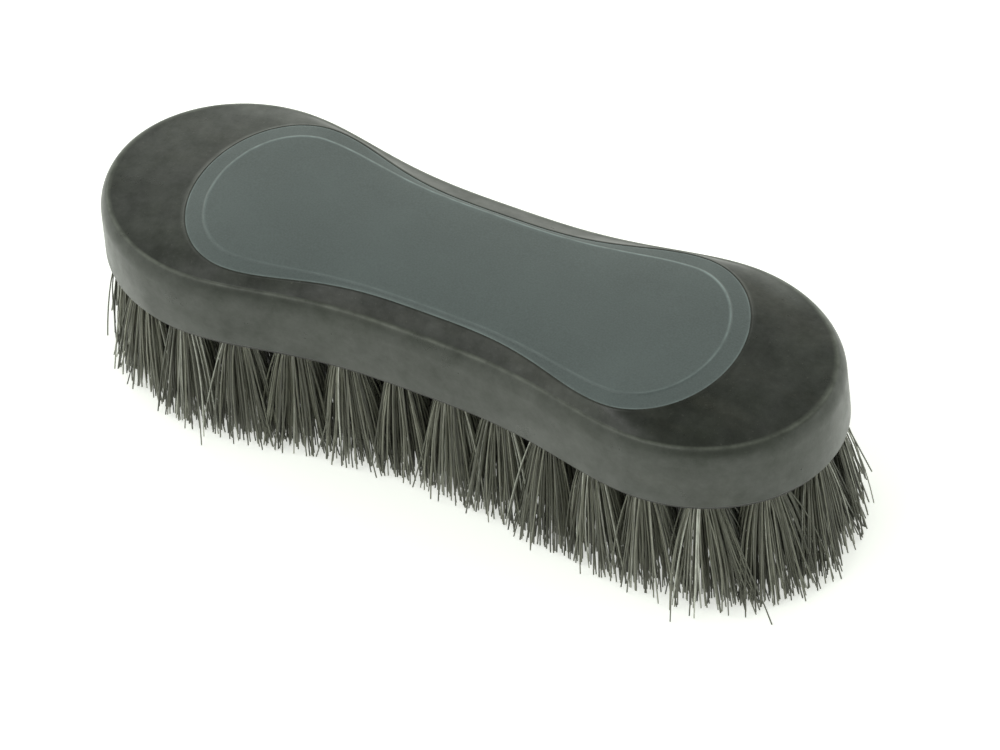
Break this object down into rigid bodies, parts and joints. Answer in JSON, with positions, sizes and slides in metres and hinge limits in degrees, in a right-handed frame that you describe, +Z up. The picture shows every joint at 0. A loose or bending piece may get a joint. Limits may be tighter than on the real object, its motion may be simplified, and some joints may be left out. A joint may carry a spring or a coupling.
{
  "type": "bristle grooming brush",
  "caption": "Waisted hand-held grooming brush: a soft black grip shell with an inlaid grey pad over a drilled core, set with stiff grey bristle tufts.",
  "frame": {"origin": "middle of the brush in plan, on the plane of the bristle tips", "axes": "+X along the block, +Y across it, +Z up from the bristle tips to the grip pad"},
  "size_m": [0.1792, 0.058, 0.0498],
  "materials": {
    "core_plastic": "moulded satin black",
    "shell_rubber": "soft-touch satin black",
    "pad_rubber": "matte blue-grey with a fine grain",
    "filament": "satin grey synthetic filament"
  },
  "bodies": {
    "root": {"core": "core_plastic", "grip_shell": "shell_rubber", "grip_pad": "pad_rubber", "tuft_ring_01": "filament", "tuft_ring_02": "filament", "tuft_ring_03": "filament", "tuft_ring_04": "filament", "tuft_ring_05": "filament", "tuft_ring_06": "filament", "tuft_ring_07": "filament", "tuft_ring_08": "filament", "tuft_ring_09": "filament", "tuft_ring_10": "filament", "tuft_ring_11": "filament", "tuft_ring_12": "filament", "tuft_ring_13": "filament", "tuft_ring_14": "filament", "tuft_ring_15": "filament", "tuft_ring_16": "filament", "tuft_ring_17": "filament", "tuft_ring_18": "filament", "tuft_ring_19": "filament", "tuft_ring_20": "filament", "tuft_ring_21": "filament", "tuft_ring_22": "filament", "tuft_ring_23": "filament", "tuft_ring_24": "filament", "tuft_ring_25": "filament", "tuft_ring_26": "filament", "tuft_ring_27": "filament", "tuft_ring_28": "filament", "tuft_ring_29": "filament", "tuft_ring_30": "filament", "tuft_row_01": "filament", "tuft_row_02": "filament", "tuft_row_03": "filament", "tuft_row_04": "filament", "tuft_row_05": "filament", "tuft_row_06": "filament", "tuft_row_07": "filament", "tuft_row_08": "filament", "tuft_row_09": "filament", "tuft_row_10": "filament", "tuft_row_11": "filament", "tuft_row_12": "filament", "tuft_row_13": "filament", "tuft_row_14": "filament", "tuft_row_15": "filament", "tuft_row_16": "filament", "tuft_row_17": "filament", "tuft_row_18": "filament", "tuft_row_19": "filament", "tuft_row_20": "filament", "tuft_row_21": "filament", "tuft_row_22": "filament", "tuft_row_23": "filament", "tuft_row_24": "filament"}
  },
  "joints": []
}
